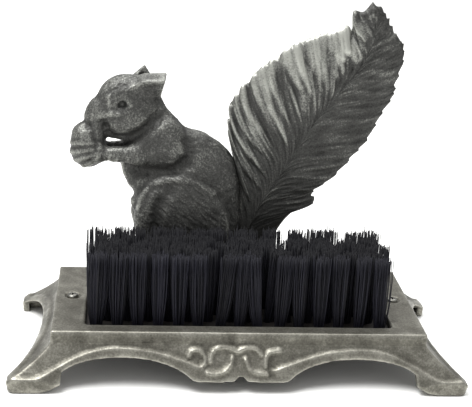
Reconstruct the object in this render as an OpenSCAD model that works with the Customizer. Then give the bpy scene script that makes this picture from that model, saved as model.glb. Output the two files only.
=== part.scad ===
// Boot brush: a footed cast iron base that holds an upright brush, with a cast squirrel behind it.
// Millimetres. X runs along the brush, the front is -Y, and Z = 0 is the floor under the feet.

/* [Base casting] */
// Length of the flat top plate
plate_l = 250; // [244:1:300]
// Depth of the flat top plate, front to back
plate_w = 116; // [110:1:150]
// Height of the top plate above the floor
base_h = 38; // [34:1:60]
// Thickness of the top plate
plate_t = 5; // [4:0.5:6]
// Wall thickness of the aprons and legs
wall_t = 5; // [4:0.5:7]
// Height of the plain upright band under the plate edge
fascia_h = 8; // [7:0.5:9]
// How far each foot reaches past the plate end
splay_x = 27.5; // [15:0.5:40]
// How far each foot reaches past the plate front and back
splay_y = 14; // [8:0.5:20]
// Height of the upright toe of each foot
toe_h = 7; // [5:0.5:8]
// Clear height under the middle of the long arches
arch_h = 21; // [17:0.5:22]
// Half of the clear width between the front feet
foot_in_x = 117; // [105:1:122]
// Half of the clear width between a front and a back foot
foot_in_y = 60; // [50:1:62]
// Clear height under the middle of the end arches
end_arch_h = 20; // [16:0.5:22]

/* [Scroll pendant] */
// Half the width of the pendant between the two long arches
pendant_half = 31; // [24:1:36]
// Clear height under the pendant
pendant_z = 8.3; // [6:0.1:10]

/* [Brush] */
// Tufts in the front row
tufts = 15; // [9:1:15]
// Spacing of the tufts along a row
tuft_pitch = 13.6; // [13:0.1:13.9]
// Spacing of the rows
row_pitch = 11.5; // [11.4:0.1:12.5]
// Distance of the front row behind the opening's front edge
row_inset = 8.5; // [7:0.5:10]
// Height of the bristle ends above the plate
bristle_up = 46.4; // [35:0.1:60]
// Diameter of a tuft where it leaves the block
tuft_root_d = 6.4; // [5:0.1:7]
// Diameter of a tuft at its flared end
tuft_tip_d = 10.4; // [8:0.1:10.8]
// Thickness of the brush block
block_t = 14; // [12:0.5:15]
// Depth of the drilled tuft holes
hole_depth = 10; // [8:0.5:11]
// Distance of the opening's front edge behind the plate's front edge
front_rim = 12; // [11:0.5:16]

/* [Brush screws] */
// Distance of each screw from the plate end
screw_end = 12; // [10:0.5:14]
// Distance of the screws behind the middle of the brush
screw_back = 17; // [0:0.5:20]
// Screw shank diameter
screw_d = 4.2; // [3.5:0.1:5.5]
// Screw head diameter
screw_head_d = 8; // [7:0.1:9]
// Diameter of the round recess cast around the head
recess_d = 10.6; // [10:0.1:12]

/* [Squirrel] */
// Distance of the squirrel's middle plane from the plate's back edge
figure_back = 21; // [19:0.5:23]
// Half thickness of the trunk, front to back
trunk_half = 14; // [12:0.5:15]
// Half thickness of the tail at its spine
tail_half = 7.5; // [6:0.5:11]
// Half thickness of the tail near its edge
tail_edge_half = 4.5; // [3.5:0.5:6]
// Mounting bolt diameter
bolt_d = 6; // [5:0.5:8]
// Length of each mounting bolt under its head
bolt_l = 22; // [18:1:28]
// Diameter of the two dowels between body and tail
dowel_d = 6; // [4:0.5:8]
// Length of each dowel
dowel_l = 24; // [18:1:30]

/* [Hidden] */
// Radial gap round the brush screws, the mounting bolts and the tuft roots
screw_gap = 0.4;
bolt_gap = 0.3;
root_gap = 0.1;
// Share of the free bristle length, from the root up, where the bending is centred
flex_share = 0.15;
eps = 0.01;
fine = 64;
soft = 28;

// Base
base_l = plate_l + 2 * splay_x;
base_w = plate_w + 2 * splay_y;
apron_top = base_h - fascia_h;
// The flare is hollow-faced: at half its height it has gone out by less than half
flare_mid_z = (apron_top + toe_h) / 2;
flare_mid = 0.42;
arch_mid = (pendant_half + foot_in_x) / 2 + 1;
arch_half = (foot_in_x - pendant_half) / 2 + 2.5;
arch_rise = arch_h - pendant_z;
arch_r = (arch_half * arch_half + arch_rise * arch_rise) / (2 * arch_rise);
end_rise = end_arch_h - toe_h;
end_r = (foot_in_y * foot_in_y + end_rise * end_rise) / (2 * end_rise);
heel_run = 11;
heel_z = 6;
corner_r = 3;

// Brush
brush_front = -plate_w / 2 + front_rim;
rows = 5;
row_y = [for (i = [0 : rows - 1]) brush_front + row_inset + i * row_pitch];
brush_back = row_y[rows - 1] + row_inset + 1;
row_half = (tufts - 1) / 2 * tuft_pitch;
opening_half = row_half + tuft_tip_d / 2 + 2.5;
block_top = base_h - plate_t;
block_z = block_top - block_t;
block_lip = 4;
screw_x = plate_l / 2 - screw_end;
screw_y = (brush_front + brush_back) / 2 + screw_back;
// Gap between the block and the inside of the casting
block_gap = 1;
block_half = plate_l / 2 - wall_t - block_gap;
bristle_top = base_h + bristle_up;
flex_z = block_top + flex_share * (bristle_top - block_top);
flex_r = tuft_root_d / 2 + 0.4;
stub_top = flex_z - flex_r - 0.3;
hole_floor = block_top - hole_depth;
anchor_w = 0.5;
anchor_h = 2.2;
anchor_bite = 0.8;
recess_depth = 1.2;
head_h = 2.6;
screw_l = plate_t - recess_depth + 10;

// Squirrel
figure_y = plate_w / 2 - figure_back;
bolt_x = [-54, -16];
bolt_head_h = 4;
bolt_head_af = 10;
washer_t = 1.6;
washer_d = 12.5;
washer_under = block_top - washer_t;
dowel_z = [base_h + 26, base_h + 60];
seam_x = 0;

// ---------- shared shapes ----------

// Points along a cubic curve from a to d, with b and c as its handles, leaving out the last point
function curve(a, b, c, d, n = 8) = [
    for (i = [0 : n - 1])
        let (t = i / n, s = 1 - t)
            s * s * s * a + 3 * s * s * t * b + 3 * s * t * t * c + t * t * t * d
];

module centred_box(l, w, z0, z1) {
    translate([-l / 2, -w / 2, z0]) cube([l, w, z1 - z0]);
}

// A level of the flared base: share 0 is the plate's outline, share 1 the outline of the feet
module flare_level(share, inset, z0, z1) {
    centred_box(plate_l + 2 * (splay_x * share - inset), plate_w + 2 * (splay_y * share - inset), z0, z1);
}

// The whole flared body of the base, taken in on every side by inset
module flared_body(inset, top, bottom) {
    flare_level(0, inset, apron_top - eps, top);
    hull() {
        flare_level(0, inset, apron_top - eps, apron_top);
        flare_level(flare_mid, inset, flare_mid_z - eps, flare_mid_z);
    }
    hull() {
        flare_level(flare_mid, inset, flare_mid_z - eps, flare_mid_z);
        flare_level(1, inset, toe_h - eps, toe_h);
    }
    flare_level(1, inset, bottom, toe_h);
}

// Everything below the lower edge of the front and back aprons, drawn in X and Z
module long_arch_outline() {
    for (s = [-1, 1]) {
        intersection() {
            translate([s * arch_mid, arch_h - arch_r]) circle(r = arch_r, $fn = fine);
            translate([s > 0 ? 0 : -foot_in_x, pendant_z]) square([foot_in_x, arch_h]);
        }
        polygon([
            [s * (foot_in_x - 1), -1], [s * (foot_in_x + heel_run), -1],
            [s * (foot_in_x + heel_run), 0], [s * foot_in_x, heel_z], [s * (foot_in_x - 1), heel_z]
        ]);
    }
    translate([-foot_in_x, -1]) square([2 * foot_in_x, pendant_z + 1]);
    // small notch in the middle of the pendant
    translate([0, pendant_z]) rotate(45) square(4, center = true);
}

module end_arch_outline() {
    intersection() {
        translate([0, end_arch_h - end_r]) circle(r = end_r, $fn = fine);
        translate([-foot_in_y, -1]) square([2 * foot_in_y, base_h]);
    }
    translate([-foot_in_y, -1]) square([2 * foot_in_y, toe_h]);
}

module opening_outline() {
    x = opening_half;
    y0 = brush_front;
    y1 = brush_back;
    translate([-x + corner_r, y0]) square([2 * (x - corner_r), y1 - y0]);
    translate([-x, y0 + corner_r]) square([2 * x, y1 - y0 - 2 * corner_r]);
    for (cx = [-x + corner_r, x - corner_r], cy = [y0 + corner_r, y1 - corner_r])
        translate([cx, cy]) circle(r = corner_r, $fn = fine);
}

// Every other row holds one tuft less, each set between two tufts of its neighbours
module at_each_tuft(row) {
    staggered = row % 2;
    for (i = [0 : tufts - 1 - staggered])
        translate([-row_half + (i + staggered / 2) * tuft_pitch, row_y[row], 0]) children();
}

// ---------- base ----------

module base_frame() {
    color("#7d7a6c") difference() {
        flared_body(0, base_h, 0);
        flared_body(wall_t, block_top, -1);
        rotate([90, 0, 0]) linear_extrude(height = 2 * base_w, center = true) long_arch_outline();
        rotate([90, 0, 90]) linear_extrude(height = 2 * base_l, center = true) end_arch_outline();
        translate([0, 0, block_top - 1]) linear_extrude(height = plate_t + 2) opening_outline();
        for (s = [-1, 1]) translate([s * screw_x, screw_y, 0]) {
            translate([0, 0, block_top - 1]) cylinder(r = screw_d / 2 + screw_gap, h = plate_t + 2, $fn = fine);
            translate([0, 0, base_h - recess_depth]) cylinder(r = recess_d / 2, h = plate_t, $fn = fine);
        }
        for (x = bolt_x) translate([x, figure_y, block_top - 1])
            cylinder(r = bolt_d / 2 + bolt_gap, h = plate_t + 2, $fn = fine);
    }
}

// ---------- brush ----------

module brush_block() {
    y0 = brush_front - block_lip;
    y1 = brush_back + block_lip;
    color("#2a2724") difference() {
        translate([-block_half, y0, block_z]) cube([2 * block_half, y1 - y0, block_t]);
        for (row = [0 : rows - 1]) at_each_tuft(row)
            translate([0, 0, hole_floor]) cylinder(d = tuft_root_d, h = hole_depth + 1, $fn = fine);
        for (s = [-1, 1]) translate([s * screw_x, screw_y, block_top - screw_l])
            cylinder(d = screw_d, h = screw_l + 1, $fn = fine);
    }
}

// The folded ends of one row of tufts, packed into their holes, with a slot for the anchors
module tuft_roots(row) {
    color("#17171b") at_each_tuft(row) difference() {
        translate([0, 0, hole_floor])
            cylinder(r = tuft_root_d / 2 - root_gap, h = stub_top - hole_floor, $fn = fine);
        translate([-tuft_root_d, -anchor_w / 2, hole_floor - 1])
            cube([2 * tuft_root_d, anchor_w, anchor_h + 1]);
    }
}

// Flat wire anchors that pin the folded tufts, their ends bitten into the block
module tuft_anchors(row) {
    w = tuft_root_d + 2 * anchor_bite;
    color("#b9bcc0") at_each_tuft(row)
        translate([-w / 2, -anchor_w / 2, hole_floor]) cube([w, anchor_w, anchor_h]);
}

// The free, bending length of one row of tufts: round at the bend, flaring to the cut ends
module bristle_row(row) {
    color("#1d1d22") at_each_tuft(row) translate([0, 0, flex_z]) {
        sphere(r = flex_r, $fn = fine);
        cylinder(r1 = flex_r, r2 = tuft_tip_d / 2, h = bristle_top - flex_z, $fn = fine);
    }
}

// ---------- brush screws ----------

module brush_screw(side) {
    color("#8d8a80") translate([side * screw_x, screw_y, base_h - recess_depth]) {
        intersection() {
            translate([0, 0, -screw_head_d]) cylinder(d = screw_head_d, h = 2 * screw_head_d, $fn = fine);
            translate([0, 0, head_h - screw_head_d]) sphere(r = screw_head_d, $fn = fine);
            translate([-screw_head_d, -screw_head_d, 0]) cube([2 * screw_head_d, 2 * screw_head_d, head_h]);
        }
        translate([0, 0, -screw_l + recess_depth]) cylinder(d = screw_d, h = screw_l - recess_depth, $fn = fine);
    }
}

// ---------- squirrel ----------

// A ball at x, z on the squirrel's own plane, flattened front to back to half_y
module lump(x, z, r, half_y, y = 0) {
    translate([x, figure_y + y, base_h + z]) scale([1, half_y / r, 1]) sphere(r = r, $fn = soft);
}

module squirrel_solid() {
    // trunk and haunches
    hull() {
        lump(-38, 70, 39, trunk_half);
        lump(-57, 90, 26, trunk_half - 2);
        lump(-34, 31, 33, trunk_half + 1);
        lump(-53, 46, 21, trunk_half);
    }
    // hind feet, joined into one foot plate
    hull() for (x = [-76, -8], y = [-9, 9]) lump(x, 7, 7.5, 6, y);
    // head and muzzle
    hull() {
        lump(-82, 130, 21, 12);
        lump(-66, 125, 15, 11);
        lump(-98, 120.5, 10.5, 7);
    }
    // neck
    hull() {
        lump(-64, 124, 13, 10);
        lump(-56, 98, 20, trunk_half - 2);
    }
    // arms
    for (s = [-1, 1]) hull() {
        lump(-58, 92, 9, 6, s * 9);
        lump(-97, 98.3, 6.5, 5.5, s * 4);
    }
    // nut held in the paws
    hull() lump(-104.5, 97.5, 13.5, 10);
    // ears
    ear([[-78, 146], [-51.5, 155.5], [-53, 136], [-64, 132]], -9);
    ear([[-77, 148], [-68, 159], [-59, 146], [-64, 138]], 3);
}

module ear(points, y) {
    translate([0, figure_y + y + 6, base_h]) rotate([90, 0, 0]) linear_extrude(height = 6) polygon(points);
}

module squirrel_body() {
    color("#565652") difference() {
        squirrel_solid();
        translate([-200, 0, base_h - 50]) cube([400, 200, 50]);
        translate([seam_x, 0, base_h - 1]) cube([200, 200, 200]);
        for (x = bolt_x) translate([x, figure_y, base_h - 1])
            cylinder(d = bolt_d, h = bolt_l - plate_t - washer_t + 3, $fn = fine);
        for (z = dowel_z) translate([seam_x - dowel_l / 2, figure_y, z])
            rotate([0, 90, 0]) cylinder(d = dowel_d, h = dowel_l, $fn = fine);
    }
}

// Outline of the leaf-shaped tail in X and Z, from the foot of the seam round to the right
tail_outline = concat(
    [[seam_x, 0], [13, 0]],
    curve([13, 0], [16, 18], [26, 30], [38, 44]),
    curve([38, 44], [48, 56], [55, 52], [58, 66], 5),
    curve([58, 66], [72, 76], [88, 96], [97, 115]),
    curve([97, 115], [108, 130], [117, 150], [113, 172]),
    curve([113, 172], [110, 186], [100, 196], [90, 206], 6),
    curve([90, 206], [84, 206], [82, 198], [78, 190], 4),
    curve([78, 190], [58, 186], [26, 172], [9, 153]),
    curve([9, 153], [-4, 138], [-14, 112], [seam_x, 93]),
    [[seam_x, 93]]
);

module squirrel_tail() {
    color("#5d5c58") difference() {
        translate([0, figure_y, base_h]) rotate([90, 0, 0]) {
            linear_extrude(height = 2 * tail_edge_half, center = true) polygon(tail_outline);
            linear_extrude(height = 2 * tail_half, center = true) intersection() {
                offset(delta = -9) polygon(tail_outline);
                translate([seam_x + 1, 0]) square(400);
            }
            // thick root that seats against the rump
            translate([seam_x, 4]) linear_extrude(height = 2 * tail_half, center = true) square([12, 76]);
        }
        for (z = dowel_z) translate([seam_x - dowel_l / 2, figure_y, z])
            rotate([0, 90, 0]) cylinder(d = dowel_d, h = dowel_l, $fn = fine);
    }
}

module tail_dowel(z) {
    color("#9a9c9e") translate([seam_x - dowel_l / 2, figure_y, z])
        rotate([0, 90, 0]) cylinder(d = dowel_d, h = dowel_l, $fn = fine);
}

module mounting_bolt(x) {
    color("#8f9092") translate([x, figure_y, washer_under]) {
        cylinder(d = bolt_d, h = bolt_l, $fn = fine);
        translate([0, 0, -bolt_head_h]) cylinder(d = bolt_head_af / cos(30), h = bolt_head_h, $fn = 6);
    }
}

module bolt_washer(x) {
    color("#a3a4a5") translate([x, figure_y, washer_under]) difference() {
        cylinder(d = washer_d, h = washer_t, $fn = fine);
        translate([0, 0, -1]) cylinder(r = bolt_d / 2 + bolt_gap, h = washer_t + 2, $fn = fine);
    }
}

// ---------- nodes ----------

base_frame();
brush_block();
tuft_roots(0);  // tuft_roots_1
tuft_roots(1);  // tuft_roots_2
tuft_roots(2);  // tuft_roots_3
tuft_roots(3);  // tuft_roots_4
tuft_roots(4);  // tuft_roots_5
tuft_anchors(0);  // tuft_anchors_1
tuft_anchors(1);  // tuft_anchors_2
tuft_anchors(2);  // tuft_anchors_3
tuft_anchors(3);  // tuft_anchors_4
tuft_anchors(4);  // tuft_anchors_5
bristle_row(0);  // bristle_row_1
bristle_row(1);  // bristle_row_2
bristle_row(2);  // bristle_row_3
bristle_row(3);  // bristle_row_4
bristle_row(4);  // bristle_row_5
brush_screw(-1);  // brush_screw_left
brush_screw(1);  // brush_screw_right
squirrel_body();
squirrel_tail();
tail_dowel(dowel_z[0]);  // tail_dowel_lower
tail_dowel(dowel_z[1]);  // tail_dowel_upper
mounting_bolt(bolt_x[0]);  // mounting_bolt_left
mounting_bolt(bolt_x[1]);  // mounting_bolt_right
bolt_washer(bolt_x[0]);  // bolt_washer_left
bolt_washer(bolt_x[1]);  // bolt_washer_right
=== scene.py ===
"""Boot brush with a cast squirrel: the looks of every piece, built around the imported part."""

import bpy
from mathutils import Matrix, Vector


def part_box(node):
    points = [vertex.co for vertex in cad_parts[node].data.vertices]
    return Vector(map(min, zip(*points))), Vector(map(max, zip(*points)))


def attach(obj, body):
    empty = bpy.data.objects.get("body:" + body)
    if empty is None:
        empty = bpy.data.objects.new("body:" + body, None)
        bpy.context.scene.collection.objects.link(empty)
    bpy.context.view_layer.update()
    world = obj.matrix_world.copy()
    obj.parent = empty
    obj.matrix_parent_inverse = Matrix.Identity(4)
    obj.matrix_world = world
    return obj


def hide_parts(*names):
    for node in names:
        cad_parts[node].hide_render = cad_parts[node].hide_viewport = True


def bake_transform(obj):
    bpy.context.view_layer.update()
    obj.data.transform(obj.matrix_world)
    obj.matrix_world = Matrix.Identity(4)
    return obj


bl_info = {
    "name": "Squirrel boot brush",
    "version": (1, 0, 0),
    "blender": (4, 5, 0),
    "location": "3D View > Sidebar > Boot brush",
    "description": "Builds the castings, bristles, screws and finishes of a squirrel boot brush",
    "category": "Object",
}

import itertools
import math

import bpy
import numpy as np
import openvdb
from bpy.props import FloatProperty, FloatVectorProperty, IntProperty, PointerProperty
from mathutils import Matrix, Vector

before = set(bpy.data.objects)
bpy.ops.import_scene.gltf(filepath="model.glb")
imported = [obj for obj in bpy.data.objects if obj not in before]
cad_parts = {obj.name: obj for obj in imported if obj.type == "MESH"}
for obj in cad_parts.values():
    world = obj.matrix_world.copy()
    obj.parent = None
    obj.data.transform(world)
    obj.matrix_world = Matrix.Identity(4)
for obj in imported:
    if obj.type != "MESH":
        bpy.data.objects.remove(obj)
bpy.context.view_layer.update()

MM = 0.001
ROWS = 5
# Tufts in the front row; every other row holds one less, set between the tufts of its neighbours
FRONT_TUFTS = 15


# ---------- places taken from the frame, in millimetres ----------


def node_box(name):
    """Lowest and highest corner of a CAD node, in millimetres."""
    low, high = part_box(name)
    return np.array(low) / MM, np.array(high) / MM


def plate_places():
    """Half sizes of the top plate, and the corners of the brush opening in it."""
    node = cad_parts["base_frame"]
    points = np.array([vertex.co for vertex in node.data.vertices]) / MM
    top = points[points[:, 2] > points[:, 2].max() - 0.01][:, :2]
    half = np.abs(top).max(axis=0)
    rim, screw_zone = 8.0, 20.0
    x, y = top.T
    inner = top[(np.abs(x) < half[0] - screw_zone) & (y > rim - half[1]) & (y < half[1] / 2)]
    return half, inner.min(axis=0), inner.max(axis=0)


PLATE_HALF, OPENING_LOW, OPENING_HIGH = plate_places()
BASE_LOW, BASE_HIGH = node_box("base_frame")
PLATE_TOP = BASE_HIGH[2]
BODY_LOW, BODY_HIGH = node_box("squirrel_body")
TAIL_LOW, TAIL_HIGH = node_box("squirrel_tail")
# The figure is drawn from here: the seam under the tail, its own middle plane, the top of the plate
FIGURE_ORIGIN = np.array([BODY_HIGH[0], (TAIL_LOW[1] + TAIL_HIGH[1]) / 2, PLATE_TOP])


# ---------- colours ----------


def from_hex(code):
    """A linear colour from an sRGB hex code."""
    parts = [int(code[i : i + 2], 16) / 255 for i in (1, 3, 5)]
    return [c / 12.92 if c <= 0.04045 else ((c + 0.055) / 1.055) ** 2.4 for c in parts]


def colour_property(name, description, code):
    linear = from_hex(code)
    return FloatVectorProperty(
        name=name, description=description, default=linear, subtype="COLOR", size=3, min=0.0, max=1.0
    )


def length_property(name, description, millimetres):
    metres = millimetres * MM
    return FloatProperty(
        name=name, description=description, default=metres, min=0.0, subtype="DISTANCE", unit="LENGTH"
    )


class BootBrushSizes(bpy.types.PropertyGroup):
    """Sizes of the details that the castings and the brush carry."""

    cell: length_property("Sculpting cell", "Finest detail that a casting holds", 0.72)
    wall: length_property("Apron wall", "Wall thickness of the base casting", 5.0)
    plate: length_property("Plate thickness", "Thickness of the top plate", 5.0)
    fascia: length_property("Fascia height", "Height of the upright band under the plate edge", 8.0)
    toe: length_property("Toe height", "Height of the upright toe of each foot", 7.0)
    bead: length_property("Bead height", "How far the moulded lines and scrolls stand out", 1.6)
    recess: length_property("Screw recess radius", "Radius of the recess round each brush screw", 5.3)
    recess_depth: length_property("Screw recess depth", "Depth of the recess round each brush screw", 1.2)
    bolt_hole: length_property("Bolt hole radius", "Radius of the two bolt holes under the figure", 3.3)
    fur: length_property("Fur depth", "Depth of the short fur strokes on the squirrel", 0.42)
    lock: length_property("Lock depth", "How far the bold locks stand out on the tail", 3.8)
    filament: length_property("Filament thickness", "Diameter of one bristle filament", 0.62)
    filaments: IntProperty(name="Filaments", description="Free ends in each tuft", default=78, min=8)


class BootBrushColours(bpy.types.PropertyGroup):
    """Colours of each finish, from its hollows to its rubbed edges; the hollow colours also serve for painted
    shade, and the figure's rubbed colour also for painted light.
    """

    base_hollow_and_shade: colour_property("Base hollows", "Cast iron of the base where dirt stays", "#33312b")
    base_iron: colour_property("Base iron", "Cast iron of the base", "#65635b")
    base_rubbed: colour_property("Base rubbed edge", "Cast iron of the base where hands rub it", "#9f9d93")
    figure_hollow_and_shade: colour_property("Figure hollows", "Cast iron of the squirrel where dirt stays", "#1b1b1a")
    figure_iron: colour_property("Figure iron", "Cast iron of the squirrel", "#4c4c4a")
    figure_rubbed_and_lit: colour_property("Figure rubbed edge", "Cast iron of the squirrel, rubbed", "#aeafa8")
    nylon: colour_property("Bristle nylon", "Black nylon filament", "#1b1b23")
    steel: colour_property("Plated steel", "Zinc plated steel of screws, bolts and washers", "#8d8c86")
    wire: colour_property("Anchor wire", "Flat tinned wire that pins the tufts", "#c9cbcd")
    wood: colour_property("Block wood", "Stained beech of the brush block", "#1d1815")
    floor: colour_property("Floor", "Plain pale floor", "#fbfbf9")


# ---------- drawing helpers ----------


def smooth_path(points, steps=6):
    """Points along a smooth curve through the given ones."""
    points = np.array(points, float)
    padded = np.vstack([2 * points[0] - points[1], points, 2 * points[-1] - points[-2]])
    path = []
    for a, b, c, d in zip(padded, padded[1:], padded[2:], padded[3:]):
        square, cube = 2 * a - 5 * b + 4 * c - d, 3 * b - a - 3 * c + d
        for t in np.arange(steps) / steps:
            path.append(0.5 * (2 * b + (c - a) * t + square * t**2 + cube * t**3))
    return np.array(path + [points[-1]])


def bezier(a, b, c, d, steps=10):
    """Points along a cubic curve from a to d with b and c as its handles, leaving out the last point."""
    a, b, c, d = (np.array(p, float) for p in (a, b, c, d))
    return [
        (1 - t) ** 3 * a + 3 * (1 - t) ** 2 * t * b + 3 * (1 - t) * t**2 * c + t**3 * d
        for t in np.arange(steps) / steps
    ]


def path_distance(u, v, path):
    """Distance from each u, v to a path of points."""
    nearest = np.full(np.broadcast(u, v).shape, 1e6)
    for a, b in zip(path, path[1:]):
        du, dv = b[0] - a[0], b[1] - a[1]
        t = np.clip(((u - a[0]) * du + (v - a[1]) * dv) / (du * du + dv * dv + 1e-9), 0, 1)
        nearest = np.minimum(nearest, np.hypot(u - a[0] - t * du, v - a[1] - t * dv))
    return nearest


def outline_distance(u, v, outline):
    """Distance from each u, v to a closed outline, below zero inside it."""
    closed = list(outline) + [outline[0]]
    inside = np.zeros(np.broadcast(u, v).shape, bool)
    for a, b in zip(closed, closed[1:]):
        if a[1] == b[1]:
            continue
        crosses = (a[1] > v) != (b[1] > v)
        inside ^= crosses & (u < a[0] + (v - a[1]) * (b[0] - a[0]) / (b[1] - a[1]))
    return np.where(inside, -1.0, 1.0) * path_distance(u, v, closed)


def soft_min(a, b, melt):
    """The lower of two distances, with a fillet of about melt where they meet."""
    h = np.clip(0.5 + 0.5 * (b - a) / melt, 0, 1)
    return b + (a - b) * h - melt * h * (1 - h)


def soft_max(a, b, melt):
    """The higher of two distances, melted together in the same way."""
    return -soft_min(-a, -b, melt)


def noise(points, seed):
    """Smooth noise from -1 to 1, with a new random value at every whole step of the points."""
    corner = np.floor(points).astype(np.int64)
    share = points - corner
    share = share * share * (3 - 2 * share)
    total = np.zeros(len(points))
    for offset in itertools.product((0, 1), repeat=3):
        x, y, z = (corner + offset).T
        code = (x * 73856093) ^ (y * 19349663) ^ (z * 83492791) ^ (seed * 2654435761)
        code = ((code ^ (code >> 13)) * 1274126177) & 0x7FFFFFFF
        code = ((code ^ (code >> 15)) * 668265263) & 0x7FFFFFFF
        value = (code & 0xFFFF) / 32767.5 - 1
        total += value * np.prod(np.where(offset, share, 1 - share), axis=1)
    return total


def blurred(field, cells):
    """The field averaged over a cube of 2 * cells + 1 on each side."""
    for axis in range(3):
        width = [(0, 0)] * 3
        width[axis] = (cells + 1, cells)
        sums = np.cumsum(np.pad(field, width, mode="edge"), axis=axis, dtype=np.float64)
        span = 2 * cells + 1
        high = np.take(sums, range(span, sums.shape[axis]), axis=axis)
        low = np.take(sums, range(0, sums.shape[axis] - span), axis=axis)
        field = ((high - low) / span).astype(np.float32)
    return field


# ---------- sculpting ----------

# Distances are kept up to this many millimetres from a surface
REACH = 9.0


def limb(a, b, radius_a, radius_b, flat=1.0):
    """A tapering limb from a to b, flat times as thick front to back as it is high."""
    a, b = np.array(a, float), np.array(b, float)
    dx, dy, dz = (b - a) / (1, flat, 1)

    def distance(x, y, z):
        px, py, pz = x - a[0], (y - a[1]) / flat, z - a[2]
        t = np.clip((px * dx + py * dy + pz * dz) / (dx * dx + dy * dy + dz * dz + 1e-9), 0, 1)
        qx, qy, qz = px - t * dx, py - t * dy, pz - t * dz
        length = np.sqrt(qx * qx + qy * qy + qz * qz) + 1e-4
        steep = np.sqrt(qx * qx + (qy / flat) ** 2 + qz * qz) / length
        return (length - radius_a - (radius_b - radius_a) * t) / np.maximum(steep, 1e-3)

    radius = max(radius_a, radius_b)
    return distance, np.minimum(a, b) - radius, np.maximum(a, b) + radius


def lump(centre, radii):
    """An egg-shaped lump."""
    c, r = np.array(centre, float), np.array(radii, float)

    def distance(x, y, z):
        px, py, pz = (x - c[0]) / r[0], (y - c[1]) / r[1], (z - c[2]) / r[2]
        near = np.sqrt(px * px + py * py + pz * pz)
        far = np.sqrt((px / r[0]) ** 2 + (py / r[1]) ** 2 + (pz / r[2]) ** 2)
        return near * (near - 1) / np.maximum(far, 1e-4)

    return distance, c - r, c + r


def pad(centre, radii, dome, melt):
    """A domed pad, standing out on both sides: an ellipse in X and Z, as high as the egg-shaped dome."""
    c = np.array(centre, float)
    crown, low, high = lump(centre, dome)

    def distance(x, y, z):
        px, pz = (x - c[0]) / radii[0], (z - c[2]) / radii[1]
        near = np.sqrt(px * px + pz * pz)
        far = np.sqrt((px / radii[0]) ** 2 + (pz / radii[1]) ** 2)
        rim = near * (near - 1) / np.maximum(far, 1e-4)
        return soft_max(rim, crown(x, y, z), melt)

    reach = np.array([radii[0], dome[1], radii[1]])
    return distance, c - reach, c + reach


def strand(points, radius):
    """A round strand through a list of points."""
    points = np.array(points, float)

    def distance(x, y, z):
        nearest = np.full(np.broadcast(x, y, z).shape, 1e6, np.float32)
        for a, b in zip(points, points[1:]):
            d = b - a
            t = ((x - a[0]) * d[0] + (y - a[1]) * d[1] + (z - a[2]) * d[2]) / (d @ d + 1e-9)
            t = np.clip(t, 0, 1)
            gap = (x - a[0] - t * d[0]) ** 2 + (y - a[1] - t * d[1]) ** 2 + (z - a[2] - t * d[2]) ** 2
            nearest = np.minimum(nearest, gap)
        return np.sqrt(nearest) - radius

    return distance, points.min(axis=0) - radius, points.max(axis=0) + radius


def faceted(low, high, planes, melt):
    """A block with flat faces: each plane is its outward normal and a point on it."""

    def distance(x, y, z):
        total = None
        for normal, point in planes:
            n = np.array(normal, float) / np.linalg.norm(normal)
            d = (x - point[0]) * n[0] + (y - point[1]) * n[1] + (z - point[2]) * n[2]
            total = d if total is None else soft_max(total, d, melt)
        return total

    return distance, np.array(low, float), np.array(high, float)


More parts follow.
